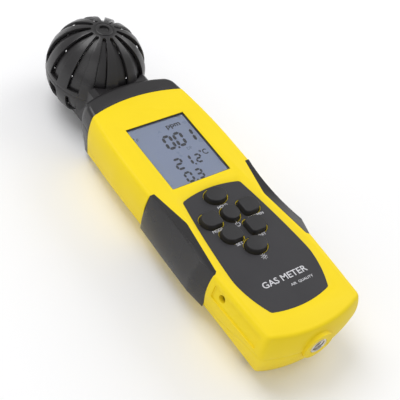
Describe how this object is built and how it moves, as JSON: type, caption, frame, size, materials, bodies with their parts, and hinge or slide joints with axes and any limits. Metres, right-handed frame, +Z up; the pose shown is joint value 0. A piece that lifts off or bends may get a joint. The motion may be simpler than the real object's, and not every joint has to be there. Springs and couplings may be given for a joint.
{
  "type": "handheld gas meter",
  "caption": "Handheld air-quality meter with a round slotted sensor cage on a neck, a display, round keys, rubber side grips, a side socket and a tripod socket in its foot.",
  "frame": {"origin": "under the middle of the meter's bounding box, on the plane that its back rests on", "axes": "+X to the meter's right, +Y from its foot to the sensor head, +Z up, out of the front face"},
  "size_m": [0.0632, 0.212, 0.0505],
  "materials": {
    "case_yellow": "fine moulded texture, satin",
    "grip_rubber": "soft moulded rubber",
    "head_grey": "satin moulded plastic",
    "label_grey": "matt printed film",
    "key_grey": "matt silicone rubber",
    "lens_clear": "clear polished acrylic",
    "lcd_grey": "liquid crystal cell",
    "black_plastic": "plain black moulding",
    "white_plastic": "plain white moulding",
    "circuit_green": "solder-resist green",
    "steel": "zinc plated",
    "nickel": "nickel plated brass",
    "tin": "satin metal can",
    "membrane": "fine dust membrane",
    "lead_red": "insulated lead"
  },
  "bodies": {
    "meter": {"back_shell": "case_yellow", "backlight": "white_plastic", "baffle_back": "head_grey", "baffle_front": "head_grey", "battery": "steel", "battery_clip": "black_plastic", "battery_leads": "lead_red", "board_screws": "steel", "buzzer": "black_plastic", "case_screws": "steel", "contact_strip": "grip_rubber", "display_gasket": "black_plastic", "display_holder": "black_plastic", "display_window": "lens_clear", "front_shell": "case_yellow", "gas_sensor": "tin", "grip_left": "grip_rubber", "grip_right": "grip_rubber", "head_back": "head_grey", "head_front": "head_grey", "humidity_chip": "black_plastic", "jack_socket": "black_plastic", "key_switches": "steel", "keypad_label": "label_grey", "lcd_glass": "lcd_grey", "main_board": "circuit_green", "neck_screws": "steel", "processor": "black_plastic", "ribbon_connectors": "white_plastic", "sensor_board": "circuit_green", "sensor_membrane": "membrane", "sensor_ribbon": "white_plastic", "tripod_insert": "nickel"},
    "key_hold": {"key_hold": "key_grey"},
    "key_light": {"key_light": "key_grey"},
    "key_max_min": {"key_max_min": "key_grey"},
    "key_mode": {"key_mode": "key_grey"},
    "key_power": {"key_power": "key_grey"},
    "key_set": {"key_set": "key_grey"},
    "key_unit": {"key_unit": "key_grey"},
    "door": {"battery_door": "case_yellow"}
  },
  "joints": [
    {"name": "key_hold_press", "type": "slide", "parent": "meter", "child": "key_hold", "axis": [0, 0, -1], "range_m": [0, 0.0008], "stiffness_N_per_m": 1500},
    {"name": "key_light_press", "type": "slide", "parent": "meter", "child": "key_light", "axis": [0, 0, -1], "range_m": [0, 0.0008], "stiffness_N_per_m": 1500},
    {"name": "key_max_min_press", "type": "slide", "parent": "meter", "child": "key_max_min", "axis": [0, 0, -1], "range_m": [0, 0.0008], "stiffness_N_per_m": 1500},
    {"name": "key_mode_press", "type": "slide", "parent": "meter", "child": "key_mode", "axis": [0, 0, -1], "range_m": [0, 0.0008], "stiffness_N_per_m": 1500},
    {"name": "key_power_press", "type": "slide", "parent": "meter", "child": "key_power", "axis": [0, 0, -1], "range_m": [0, 0.0008], "stiffness_N_per_m": 1500},
    {"name": "key_set_press", "type": "slide", "parent": "meter", "child": "key_set", "axis": [0, 0, -1], "range_m": [0, 0.0008], "stiffness_N_per_m": 1500},
    {"name": "key_unit_press", "type": "slide", "parent": "meter", "child": "key_unit", "axis": [0, 0, -1], "range_m": [0, 0.0008], "stiffness_N_per_m": 1500},
    {"name": "battery_door_slide", "type": "slide", "parent": "meter", "child": "door", "axis": [0, -1, 0], "range_m": [0, 0.014]}
  ]
}
